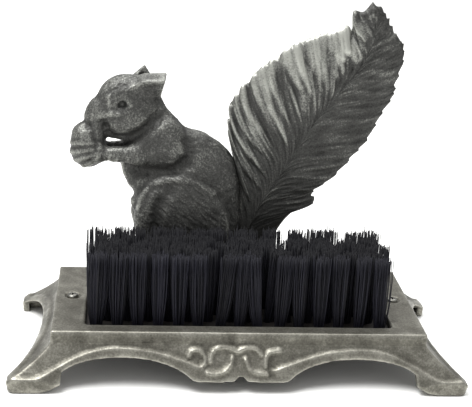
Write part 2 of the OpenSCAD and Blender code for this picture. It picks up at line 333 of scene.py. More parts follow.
class Sculpt:
    """A solid held as distances on a grid, in millimetres; inside it they are below zero."""

    def __init__(self, low, high, cell):
        self.cell = cell
        self.low = np.array(low, float) - 3 * cell
        count = np.ceil((np.array(high, float) - self.low) / cell).astype(int) + 4
        self.axes = [self.low[i] + cell * np.arange(count[i]) for i in range(3)]
        self.field = np.full(count, REACH, np.float32)

    def window(self, low, high):
        """The part of the grid between two corners, and its X, Y and Z."""
        cuts = []
        for axis, a, b in zip(self.axes, low, high):
            cuts.append(slice(int(np.searchsorted(axis, a)), int(np.searchsorted(axis, b)) + 1))
        x, y, z = (axis[cut] for axis, cut in zip(self.axes, cuts))
        return tuple(cuts), x[:, None, None], y[None, :, None], z[None, None, :]

    def everywhere(self):
        """X, Y and Z over the whole grid."""
        return self.window([-math.inf] * 3, [math.inf] * 3)[1:]

    def add(self, shape, melt=2.0):
        distance, low, high = shape
        cuts, x, y, z = self.window(low - REACH, high + REACH)
        self.field[cuts] = soft_min(self.field[cuts], distance(x, y, z), melt)

    def cut(self, shape, melt=1.0):
        distance, low, high = shape
        cuts, x, y, z = self.window(low - REACH, high + REACH)
        self.field[cuts] = soft_max(self.field[cuts], -distance(x, y, z), melt)

    def at(self, points, field=None):
        """The field at any points."""
        field = self.field if field is None else field
        place = (np.asarray(points) - self.low) / self.cell
        place = np.clip(place, 0, np.array(field.shape) - 1.001)
        corner = place.astype(int)
        share = place - corner
        total = np.zeros(len(place))
        for offset in itertools.product((0, 1), repeat=3):
            x, y, z = (corner + offset).T
            total += field[x, y, z] * np.prod(np.where(offset, share, 1 - share), axis=1)
        return total

    def slope(self, points):
        """The outward direction of the surface at any points."""
        step = np.eye(3) * self.cell
        raw = np.stack([self.at(points + d) - self.at(points - d) for d in step], axis=1)
        return raw / np.maximum(np.linalg.norm(raw, axis=1, keepdims=True), 1e-6)

    def on_skin(self, path, side, lift=0.0):
        """Lifts X, Z points of a path onto the skin, on the front (side -1) or the back (side 1)."""
        depths = self.axes[1][::-1] if side > 0 else self.axes[1]
        found = []
        for x, z in path:
            column = np.stack([np.full(len(depths), x), depths, np.full(len(depths), z)], axis=1)
            inside = np.flatnonzero(self.at(column) < 0)
            if len(inside):
                found.append((x, depths[inside[0]] + side * lift, z))
        return np.array(found)

    def mesh(self, adaptivity=0.0):
        """Points and faces of the surface."""
        grid = openvdb.FloatGrid(REACH)
        grid.copyFromArray(self.field)
        points, triangles, quads = grid.convertToPolygons(0.0, adaptivity)
        return self.low + points * self.cell, triangles.tolist() + quads.tolist()

    def wear_and_light(self, points, sharp=0.9, broad=3.0):
        """How much each point stands out, from 0 in a hollow to 1 on an edge; 0.5 is flat."""
        near_mm, far_mm = 1.3, 4.5
        near = blurred(np.clip(self.field, -3, 3), max(1, round(near_mm / self.cell)))
        far = blurred(np.clip(self.field, -REACH, REACH), round(far_mm / self.cell))
        return 0.5 + self.at(points, near) / sharp + self.at(points, far) / broad


def tube_faces(rings, sides, start=0):
    """Faces of a tube of rings of points, closed at both ends."""
    faces = []
    for ring in range(rings - 1):
        for k in range(sides):
            a, b = start + ring * sides + k, start + ring * sides + (k + 1) % sides
            faces.append((a, b, b + sides, a + sides))
    last = start + (rings - 1) * sides
    faces.append(tuple(range(last, last + sides)))
    faces.append(tuple(range(start + sides - 1, start - 1, -1)))
    return faces


def new_object(name, points, faces, attributes=None):
    """A smooth mesh object from points in millimetres."""
    mesh = bpy.data.meshes.new(name)
    mesh.from_pydata((np.asarray(points) * MM).tolist(), [], faces)
    for key, values in (attributes or {}).items():
        layer = mesh.attributes.new(key, "FLOAT", "POINT")
        layer.data.foreach_set("value", np.asarray(values, np.float32))
    mesh.shade_smooth()
    mesh.validate()
    piece = bpy.data.objects.new(name, mesh)
    bpy.context.scene.collection.objects.link(piece)
    return piece


# ---------- materials ----------


def add(tree, kind, sockets=None, stops=None, **settings):
    """Adds a shader node; a socket takes a plain value, an output, or a node for its first output."""
    node = tree.nodes.new("ShaderNode" + kind)
    for key, value in settings.items():
        setattr(node, key, value)
    for key, value in (sockets or {}).items():
        if isinstance(value, bpy.types.Node):
            value = value.outputs[0]
        if isinstance(value, bpy.types.NodeSocket):
            tree.links.new(value, node.inputs[key])
        else:
            node.inputs[key].default_value = value
    if stops:
        ramp = node.color_ramp
        while len(ramp.elements) < len(stops):
            ramp.elements.new(0.5)
        for element, (place, colour) in zip(ramp.elements, stops):
            element.position = place
            element.color = [*colour, 1.0]
    return node


def start_material(name):
    """A new material, its empty node tree and the object's own coordinates in metres."""
    material = bpy.data.materials.new(name)
    material.use_nodes = True
    tree = material.node_tree
    tree.nodes.clear()
    return material, tree, add(tree, "TexCoord").outputs["Object"]


def end_material(material, sockets):
    """Gives the material its shader, with these sockets, and hands it back."""
    shader = add(material.node_tree, "BsdfPrincipled", sockets)
    add(material.node_tree, "OutputMaterial", {"Surface": shader})
    return material


def per_mm(size):
    """The noise scale that gives features of about this many millimetres."""
    return 1 / (size * MM)


def darker(colour, share):
    """The colour brought down to this share of its brightness."""
    return [c * share for c in colour]


def sand_cast_iron(name, hollow, iron, rubbed, grain_mm, roughness):
    """Grey iron cast in sand, waxed and handled: pitted, dark in its hollows and pale where it is rubbed; on
    some pieces the attribute it reads also carries painted light and painted shade.
    """
    material, tree, place = start_material(name)
    wear_and_light_value = add(tree, "Attribute", attribute_name="wear_and_light").outputs["Fac"]
    # cloudy patches of wax, a hand's rub wide
    patches = add(tree, "TexNoise", {"Vector": place, "Scale": per_mm(16), "Detail": 4.0, "Roughness": 0.6})
    # sand grains, drawn a few times as coarse as real ones so that they show
    grit = per_mm(grain_mm)
    grains = add(tree, "TexNoise", {"Vector": place, "Scale": grit, "Detail": 3.0, "Roughness": 0.65})
    worn_and_lit = wear_and_light_value
    for pattern, swing in ((patches, 0.07), (grains, 0.13)):
        shift = add(tree, "MapRange", {0: pattern, 1: 0.3, 2: 0.7, 3: -swing, 4: swing})
        worn_and_lit = add(tree, "Math", {0: worn_and_lit, 1: shift}, operation="ADD")
    colour = add(tree, "ValToRGB", {"Fac": worn_and_lit}, stops=[(0.12, hollow), (0.5, iron), (0.9, rubbed)])
    sheen = add(tree, "MapRange", {0: worn_and_lit, 1: 0.2, 2: 0.9, 3: roughness + 0.12, 4: roughness - 0.12})
    bump = add(tree, "Bump", {"Strength": 0.55, "Distance": 0.25 * MM, "Height": grains})
    # the wax and a thin skin of rust keep it from looking like bare metal
    sockets = {"Base Color": colour, "Roughness": sheen, "Normal": bump, "Metallic": 0.75}
    return end_material(material, sockets)


def plated_steel(name, colour, roughness):
    """Bright zinc or tin plating on steel: a fine cloudy lustre over a faint unevenness."""
    material, tree, place = start_material(name)
    cloud = add(tree, "TexNoise", {"Vector": place, "Scale": per_mm(1.6), "Detail": 3.0})
    tone = add(tree, "ValToRGB", {"Fac": cloud}, stops=[(0.3, darker(colour, 0.7)), (0.7, colour)])
    gloss = add(tree, "MapRange", {0: cloud, 1: 0.3, 2: 0.7, 3: roughness + 0.1, 4: roughness})
    bump = add(tree, "Bump", {"Strength": 0.2, "Distance": 0.05 * MM, "Height": cloud})
    return end_material(material, {"Base Color": tone, "Roughness": gloss, "Normal": bump, "Metallic": 1.0})


def nylon_filament(name, colour):
    """Extruded black nylon: a soft blue-grey gloss down each filament, each a little lighter or darker, with
    painted shade towards the cut ends carried in its shade attribute.
    """
    material, tree, place = start_material(name)
    own = add(tree, "Attribute", attribute_name="shade").outputs["Fac"]
    stops = [(0.0, darker(colour, 0.3)), (0.5, colour), (1.0, [c * 2.2 for c in colour])]
    tone = add(tree, "ValToRGB", {"Fac": own}, stops=stops)
    # drawing marks along the filament
    marks = add(tree, "TexNoise", {"Vector": place, "Scale": per_mm(1.2), "Detail": 2.0})
    gloss = add(tree, "MapRange", {0: marks, 1: 0.3, 2: 0.7, 3: 0.5, 4: 0.66})
    sockets = {"Base Color": tone, "Roughness": gloss, "IOR": 1.53, "Specular IOR Level": 0.22}
    return end_material(material, sockets)


def stained_beech(name, colour):
    """Beech stained dark: straight grain along the block, with short darker flecks."""
    material, tree, place = start_material(name)
    along = add(tree, "Mapping", {"Vector": place, "Scale": (0.06, 1.0, 1.0)})
    grain = add(tree, "TexNoise", {"Vector": along, "Scale": per_mm(1.1), "Detail": 4.0, "Roughness": 0.6})
    tone = add(tree, "ValToRGB", {"Fac": grain}, stops=[(0.32, darker(colour, 0.45)), (0.62, colour)])
    bump = add(tree, "Bump", {"Strength": 0.4, "Distance": 0.15 * MM, "Height": grain})
    return end_material(material, {"Base Color": tone, "Roughness": 0.62, "Normal": bump})


def painted_floor(name, colour):
    """Matt pale paint with the faintest cloudiness, so that it reads as a plain studio floor."""
    material, tree, place = start_material(name)
    cloud = add(tree, "TexNoise", {"Vector": place, "Scale": per_mm(400), "Detail": 2.0})
    tone = add(tree, "ValToRGB", {"Fac": cloud}, stops=[(0.3, darker(colour, 0.985)), (0.7, colour)])
    return end_material(material, {"Base Color": tone, "Roughness": 0.9})


def finish_piece(piece, material, body=None, replaces=()):
    """Gives a piece its material and its body, and hides the CAD nodes it stands for."""
    piece.data.materials.clear()
    piece.data.materials.append(material)
    if replaces:
        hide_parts(*replaces)
    if body:
        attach(piece, body)


# ---------- base casting ----------


def apron_bead():
    """The moulded line along the lower edge of each long apron, in X and Z, for X above zero."""
    return smooth_path(
        [(25, 16.4), (33, 18.8), (44, 22), (56, 24.8), (70, 26.6), (84, 27), (96, 25.4), (107, 22), (118, 17),
         (127, 12.4), (134, 9.8), (142, 9.4), (149, 10.4)]
    )


def apron_scrolls():
    """The scrolls on the pendant of each long apron, in X and Z."""
    scrolls = [
        [(-26, 17), (-24, 19.4), (-24, 23), (-26.6, 26), (-30, 26.8), (-33, 25.8), (-34.6, 23.6)],
        [(-20.4, 20.6), (-19.3, 25.2), (-15.4, 28), (-10, 28.6), (-5.5, 27.6), (-2.2, 26.4), (2.5, 28),
         (7, 28.4), (11, 27), (13.6, 24.6)],
        [(-22.6, 14.2), (-17.3, 13.4), (-11.4, 14.6), (-7.5, 17.8), (-5.8, 22.4)],
        [(3, 21.4), (5.7, 16.6), (10.3, 14.4), (16.8, 14)],
        [(16.2, 18), (16.6, 22.6), (19, 25.6), (25.4, 26.8)],
    ]
    return [smooth_path(points) for points in scrolls]


def end_bead():
    """The moulded line along the lower edge of each end apron, in Y and Z, for Y above zero."""
    return smooth_path([(-4, 25), (14, 24.8), (30, 23), (44, 19.4), (55, 14.6), (62, 10.6), (70, 10.4)])


def long_arch_outline():
    """Everything open below the long aprons, for X above zero, in X and Z."""
    return [
        (-10, -2), (131, -2), (131, 0), (124, 2), (117.6, 6),
        *bezier((117, 13), (109, 19.4), (92, 21.3), (76, 21.3)),
        *bezier((76, 21.3), (56, 21.3), (40, 15.5), (32.4, 9.4)),
        *bezier((32.4, 9.4), (30.6, 8.3), (29, 8.2), (27, 8.2), 4),
        (12, 8.2),
        *bezier((5, 8.6), (3, 9), (2.4, 11.2), (0, 11.6), 4),
        (-10, 11.6),
    ]


def end_arch_outline():
    """Everything open below the end aprons, for Y above zero, in Y and Z."""
    return [
        (-10, -2), (60, -2), (60, 7),
        *bezier((60, 7), (52, 15), (30, 20), (0, 20)),
        (-10, 20),
    ]


def moulding(u, z, path, ease):
    """Relief of a moulded line that drops at once to the panel above it and eases off to the arch below."""
    crest = path_distance(np.abs(u), z, path)
    below = z < np.interp(np.abs(u), path[:, 0], path[:, 1])
    return np.where(below, np.clip(1 - crest / ease, -0.2, 1), np.exp(-((crest / 1.1) ** 2)))


def flared_distance(sculpt, sizes):
    """Distance to the flared outside of the base, for its two ends and for its two long sides."""
    x, y, z = sculpt.everywhere()
    apron_top = PLATE_TOP - sizes.fascia / MM
    toe = sizes.toe / MM
    hollow_face = 1.25
    share = np.clip((apron_top - z) / (apron_top - toe), 0, 1)
    flare = share**hollow_face
    lean = hollow_face * share ** (hollow_face - 1) / (apron_top - toe)
    lean = np.where((z > toe) & (z < apron_top), lean, 0)
    splay = BASE_HIGH[:2] - PLATE_HALF
    faces = []
    for axis, value in ((0, x), (1, y)):
        gap = np.abs(value) - PLATE_HALF[axis] - splay[axis] * flare + 0.1
        faces.append(gap / np.sqrt(1 + (splay[axis] * lean) ** 2))
    return faces


def build_base(sizes):
    """The base casting, with beads in relief on all four aprons and scrolls on the two long ones."""
    sculpt = Sculpt(BASE_LOW, BASE_HIGH, sizes.cell / MM * 1.15)
    x, y, z = sculpt.everywhere()
    wall, plate, bead = sizes.wall / MM, sizes.plate / MM, sizes.bead / MM
    ends, sides = flared_distance(sculpt, sizes)
    curls = np.minimum.reduce([path_distance(x, z, path) for path in apron_scrolls()])
    scroll_high, scroll_wide = 1.15, 1.8
    scrolls = scroll_high * np.exp(-((curls / scroll_wide) ** 2))
    relief = bead * np.maximum(moulding(x, z, apron_bead(), 6.5), scrolls)
    end_relief = 0.6 * bead * moulding(y, z, end_bead(), 5.5)
    # the corners are sharp at the plate and well rounded at the toes
    corner = 1.2 + 6.0 * np.clip((10 - z) / 10, 0, 1)
    field = soft_max(ends - end_relief, sides - relief, corner)
    field = soft_max(field, z - PLATE_TOP, 0.9)

    cavity = soft_max(np.maximum(ends, sides) + wall, z - (PLATE_TOP - plate), 3.0)
    field = soft_max(field, -cavity, 0.8)
    field = soft_max(field, -outline_distance(np.abs(x), z, long_arch_outline()), 0.9)
    field = soft_max(field, -outline_distance(np.abs(y), z, end_arch_outline()), 0.9)

    opening_corner = 3.0
    centre = (OPENING_LOW + OPENING_HIGH) / 2
    half = (OPENING_HIGH - OPENING_LOW) / 2 - opening_corner
    gap_x, gap_y = np.abs(x - centre[0]) - half[0], np.abs(y - centre[1]) - half[1]
    opening = np.hypot(np.maximum(gap_x, 0), np.maximum(gap_y, 0)) + np.minimum(np.maximum(gap_x, gap_y), 0)
    field = soft_max(field, -(opening - opening_corner + 0 * z), 0.7)
    screw_hole = 2.6
    for name, hole in (("brush_screw", screw_hole), ("mounting_bolt", sizes.bolt_hole / MM)):
        for side in ("left", "right"):
            low, high = node_box(f"{name}_{side}")
            radius = np.hypot(x - (low[0] + high[0]) / 2, y - (low[1] + high[1]) / 2)
            if name == "brush_screw":
                recess = np.maximum(radius - sizes.recess / MM, PLATE_TOP - sizes.recess_depth / MM - z)
                field = soft_max(field, -recess, 0.5)
            field = soft_max(field, -(radius - hole + 0 * z), 0.4)
    box = np.maximum(np.maximum(np.abs(x) - BASE_HIGH[0], np.abs(y) - BASE_HIGH[1]), -z)
    field = soft_max(field, 0.02 - z, 1.2)
    sculpt.field = np.maximum(field, box + 0.02).astype(np.float32)

    adaptivity = 0.004
    points, faces = sculpt.mesh(adaptivity)
    contrast = 0.82
    wear_and_light = 0.5 + (sculpt.wear_and_light(points, 2.0, 11.0) - 0.5) * contrast
    # the sand mould leaves every face a little uneven
    swell = noise(points / 7.0, 11) * 0.12 + noise(points / 2.6, 12) * 0.07
    middle = np.array([0, 0, PLATE_TOP / 2])
    inner = np.all(np.abs(points - middle) < BASE_HIGH - middle - 1, axis=1)
    points = points + sculpt.slope(points) * (swell * inner - 0.05)[:, None]
    # painted shade: the upright band under the plate edge is drawn darker, as an upright face gets less light
    # from above
    band = (points[:, 2] > PLATE_TOP - sizes.fascia / MM) & (points[:, 2] < PLATE_TOP - 1.2)
    return new_object("base_casting", points, faces, {"wear_and_light": wear_and_light + swell * 1.2 - 0.13 * band})


# ---------- squirrel ----------


def both_sides(sculpt, path, radius, melt, lift=0.0, carve=False):
    """Lays a strand on the skin of both sides, as a ridge or, with carve, as a groove."""
    for side in (-1, 1):
        skin = sculpt.on_skin(smooth_path(path, 4), side, lift)
        if len(skin) < 2:
            continue
        if carve:
            sculpt.cut(strand(skin, radius), melt)
        else:
            sculpt.add(strand(skin, radius), melt)


def squirrel_masses(s):
    """Trunk, haunches, hind legs, neck, head, arms and acorn, in X, Y and Z from the figure's origin."""
    s.add(limb((-38, 0, 70), (-57, 0, 90), 38.5, 25.5, 0.34), 1)
    s.add(limb((-38, 0, 70), (-31, 0, 46), 38.5, 36.5, 0.34), 3)
    s.add(limb((-31, 0, 46), (-34, 0, 24), 36.5, 33, 0.36), 3)
    s.add(lump((-35, 0, 84), (28, 12, 28.5)), 4)
    # back and rump, filling out to the root of the tail
    s.add(lump((-22, 0, 74), (24, 12.5, 31)), 3)
    s.add(lump((-14, 0, 58), (17, 12, 36)), 3)
    # haunches, standing proud of the trunk on both sides
    s.add(pad((-37, 0, 43.5), (33, 36), (62, 18, 62), 6.0), 2.0)
    # fold between belly and knees
    s.cut(limb((-77, -20, 65), (-77, 20, 65), 5, 5), 3)
    for y, ahead in ((-1, 0), (1, -2)):
        # knee, shin and hind foot
        s.add(limb((-57 + ahead, y * 7.6, 61), (-60 + ahead, y * 8.5, 49), 12.5, 11.5, 0.64), 2.5)
        s.add(limb((-60 + ahead, y * 8.5, 49), (-60, y * 9, 14), 11, 7.5, 0.64), 2.5)
        s.add(limb((-42, y * 8.6, 6), (-74, y * 8.6, 4.6), 7, 5.2, 0.85), 2)
        for toe in (-3.6, 0, 3.6):
            s.add(limb((-70, y * 8.6 + toe, 4.4), (-80, y * 8.8 + toe * 1.1, 2.6), 2.6, 2.1), 0.8)
    # neck and head
    s.add(limb((-63, 0, 122), (-52, 0, 98), 13.4, 22, 0.56), 5)
    s.add(lump((-79, 0, 129.5), (20.5, 12.4, 20.8)), 3)
    s.add(limb((-71, 0, 129), (-96, 0, 121.5), 17, 10.6, 0.62), 3)
    s.add(lump((-93, 0, 124), (12.6, 9.4, 11.4)), 2)
    s.add(lump((-98.5, 0, 119), (9.2, 7.4, 9)), 2)
    # jaw and lip, closing most of the gap over the forearms
    s.add(lump((-99.5, 0, 110.5), (6.5, 7.2, 8)), 3)
    s.add(limb((-92, 0, 112), (-70, 0, 112), 6.6, 11, 0.66), 3)
    for y in (-1, 1):
        # cheek
        s.add(lump((-77, y * 5.5, 119.5), (14, 8.4, 11)), 4)
        # shoulder, upper arm and forearm
        s.add(limb((-52, y * 5.5, 110), (-47, y * 8, 101), 11.5, 10.5, 0.6), 4)
        s.add(limb((-50, y * 7, 109), (-72, y * 7.4, 97.5), 8.5, 6, 0.62), 5)
        s.add(limb((-48, y * 8.4, 98.5), (-70, y * 8.6, 94.5), 10.4, 7.4, 0.62), 4)
        s.add(limb((-70, y * 8.6, 94.5), (-93, y * 6.4, 95.2), 7.4, 4.8, 0.8), 2.5)
        s.add(lump((-97, y * 5.4, 95.5), (7, 5, 7.6)), 2)
    # acorn: cap above, nut below
    s.add(lump((-104.5, 0, 104.5), (12, 10, 12.2)), 2.5)
    s.add(lump((-104.5, 0, 96), (12.4, 9.8, 12.6)), 2)


def squirrel_ears(s):
    """The near ear, folded flat back over its hollow, and the pricked far ear."""
    s.add(
        faceted(
            (-76, -14, 130), (-48, -1, 156),
            [
                ((-0.05, -0.36, 0.92), (-61, -10, 149.6)),
                ((0.97, -0.03, -0.25), (-51.4, -8, 152.4)),
                ((-0.2, 0.2, -0.95), (-62, -8, 138)),
                ((-0.62, -0.3, 0.72), (-70, -9, 148)),
                ((0, -1, -0.5), (-62, -12.6, 147.6)),
                ((0, 1, 0), (-62, -2, 148)),
            ],
            1.4,
        ),
        4.5,
    )
    s.cut(lump((-59.5, -14.6, 142.6), (7, 3.4, 3.4)), 2.4)
    s.add(limb((-68, 7.6, 145.5), (-66.8, 7.6, 154.6), 8.8, 1.2, 0.5), 1.2)
    s.cut(lump((-68.4, 3.4, 149.6), (3.0, 3.0, 4.4)), 0.8)


def squirrel_features(s):
    """Eyes, lids, muzzle, fingers and the soft creases that part one mass from the next."""
    # under the forearm and elbow, behind the elbow, and under the jaw
    both_sides(s, [(-37, 91), (-44, 85), (-54, 83), (-68, 83), (-79, 85)], 4.2, 4.6, 3.2, True)
    both_sides(s, [(-34.5, 106), (-33, 99), (-35, 92)], 3.6, 4.6, 3.4, True)
    both_sides(s, [(-84, 106), (-75, 108.4), (-64, 115), (-56, 123)], 2.4, 4.6, 2.0, True)
    # soft ridge along the top of the haunch, and the dark fold beside the shin
    arc = [(-68, 58), (-65, 68), (-58, 74.4), (-48, 78.2), (-37, 78.8), (-26, 75.8), (-17, 70)]
    both_sides(s, arc, 1.7, 3.0, -0.6)
    both_sides(s, [(-47, 73), (-53, 66), (-56, 54), (-56, 40), (-54, 26)], 4.0, 4.0, 2.8, True)
    # eye: socket, ball and lids
    for side in (-1, 1):
        s.cut(lump((-82, side * 14.2, 131.4), (5.2, 3.9, 4.4)), 2.4)
        s.add(lump((-81.4, side * 9.2, 131.4), (2.3, 2.2, 2.1)), 0.5)
    upper_lid = [(-86.6, 130.6), (-84.4, 133.4), (-81.2, 134.4), (-78, 133.4), (-75.8, 131)]
    lower_lid = [(-85.6, 129.4), (-83, 128), (-80.4, 127.8), (-77.6, 129), (-75.6, 131)]
    for lid in (upper_lid, lower_lid):
        both_sides(s, lid, 0.9, 1.2, -0.35)
    # brow and bridge of the nose, then the ridge below the eye
    both_sides(s, [(-90.6, 135.5), (-90, 131), (-89, 126)], 1.0, 2.6, -0.5)
    both_sides(s, [(-95, 122.6), (-90, 124.4), (-84, 124.4)], 1.2, 2.8, -0.7)
    # nostril: a soft pit
    both_sides(s, [(-94.4, 117.6), (-93, 115.8)], 2.0, 2.6, 1.9, True)
    # muzzle parted softly from the acorn
    both_sides(s, [(-105, 115.6), (-101, 110.6), (-99, 105), (-98.6, 100)], 1.6, 3.0, 1.9, True)
    # four fingers on each side, fanning out round the nut
    for finger in (
        [(-97, 101.6), (-106, 103), (-115.4, 101.4)],
        [(-96.6, 98.8), (-106, 98), (-115.6, 95)],
        [(-96.6, 95.8), (-105, 93), (-113, 89.4)],
        [(-97, 93), (-102.6, 88.8), (-107.4, 85.6)],
    ):
        both_sides(s, finger, 1.9, 1.5, -0.85)


def fur_height(points):
    """Short raised strokes that follow the coat, from about -1 to 1."""
    x, y, z = points.T

    def strokes(centre, long_mm, wide_mm, seed):
        reach = np.hypot(x - centre[0], z - centre[1])
        along = np.arctan2(z - centre[1], x - centre[0]) * np.maximum(reach, 25)
        places = np.stack([along / long_mm, reach / wide_mm, y / wide_mm], axis=1)
        return noise(places, seed) * 0.7 + noise(places * [1.7, 1.8, 1.8], seed + 1) * 0.5

    head = 1 / (1 + np.exp(-(z - 112 - 0.25 * (x + 60)) / 3.0))
    chest = (1 - head) / (1 + np.exp((x + 56) / 4.0)) / (1 + np.exp(-(z - 66) / 4.0))
    coat = strokes((-120, -20), 3.6, 1.2, 21)
    chest_coat = strokes((-400, 90), 4.0, 1.3, 23)
    head_coat = strokes((-76, 112), 2.4, 1.2, 25)
    return coat * (1 - head) * (1 - chest) + chest_coat * chest + head_coat * head


def build_squirrel(sizes):
    """The squirrel body, flat on the plate, with its fur cast in."""
    # room for the cheeks and haunches, and for the rump that reaches into the tail
    low = BODY_LOW - [0, 3, 0] - FIGURE_ORIGIN
    high = BODY_HIGH + [9, 3, 0] - FIGURE_ORIGIN
    sculpt = Sculpt(low, high, sizes.cell / MM)
    squirrel_masses(sculpt)
    squirrel_ears(sculpt)
    squirrel_features(sculpt)
    x, y, z = sculpt.everywhere()
    rump_end = 7.5
    sculpt.field = soft_max(sculpt.field, 0.02 - z, 0.3).astype(np.float32)
    sculpt.field = np.maximum(sculpt.field, x - rump_end).astype(np.float32)

    points, faces = sculpt.mesh()
    wear_and_light = sculpt.wear_and_light(points, 2.2, 7.0)
    px, py, pz = points.T
    fur = fur_height(points)
    ear_top = (pz > 143) & (px > -78)
    fingers = (px < -97) & (pz < 104)
    eye = np.hypot(px + 81.4, pz - 131.2) < 3.2
    smooth = 1 - 0.75 * (ear_top | fingers) - 0.25 * eye
    rise = fur * smooth * sizes.fur / MM * np.clip(pz / 1.5, 0, 1)
    points = points + sculpt.slope(points) * rise[:, None]
    # the figure is darker than its base, and never rubbed quite bright
    brightest = np.where(ear_top, 0.6, 0.72)
    wear_and_light = np.minimum(0.46 + (wear_and_light - 0.5) * 0.85, brightest) + fur * smooth * 0.07 - 0.2 * eye
    return new_object("squirrel_casting", points + FIGURE_ORIGIN, faces, {"wear_and_light": wear_and_light})


# ---------- tail ----------

# Places on the spine of the tail from root to tip, each with the places on its left and right edges where the
# locks that leave it run out, in X and Z from the figure's origin
TAIL_STATIONS = [
    ((6, 0), (-2, 0), (14, 0)),
    ((7, 14), (-1, 50), (30, 36)),
    ((8, 28), (1, 84), (43, 54)),
    ((10, 40), (-5, 105), (57, 60)),
    ((14, 52), (-7, 119), (56, 69)),
    ((20, 64), (-5, 133), (69, 79)),
    ((27, 76), (5, 147), (82, 95)),
    ((34, 88), (19, 161), (92, 108)),
    ((43, 104), (35, 173), (100, 126)),
    ((52, 120), (50, 180), (108, 140)),
    ((61, 133), (62, 184), (109, 150)),
    ((71, 146), (71, 187), (113, 165)),
    ((80, 158), (75, 187), (112, 177)),
    ((87, 171), (75, 199), (104, 187)),
    ((91, 186), (82, 199), (99, 196)),
    ((91, 202), (88, 206), (94, 203)),
]


def sheet_noise(u, v, seed):
    """Smooth noise over a sheet, with a new random value at every whole step of u and of v."""
    return noise(np.stack([u.ravel(), v.ravel(), 0 * u.ravel()], axis=1), seed).reshape(u.shape)


def lock_heights(s, t, seed, count, first, inner, width, skew):
    """The tallest lock over each s, t: wide at the edge (t = 1), tapering to a point nearer the spine."""
    rng = np.random.default_rng(seed)
    pitch = (1 - first) / count
    tallest = np.zeros_like(s)
    for i in range(count):
        centre = first + pitch * (i + 0.5 + rng.uniform(-0.25, 0.25))
        root = rng.uniform(*inner)
        half = pitch * width * rng.uniform(0.6, 1.35)
        height = rng.uniform(0.6, 1.0)
        bend = rng.uniform(-0.35, 0.35) * pitch
        run = np.clip((t - root) / (1 - root), 0, 1)
        middle = centre + bend * np.sin(3 * t) + skew * pitch * (1 - run) ** 2
        q = (s - middle) / (half * run**0.5 + 1e-6)
        # undercut on the side that faces the tip
        q = np.where(q > 0, q * 1.7, q * 0.85)
        rise = height * np.clip(1 - q * q, 0, 1) ** 0.6 * np.clip(run * 4, 0, 1)
        tallest = np.maximum(tallest, rise)
    return tallest


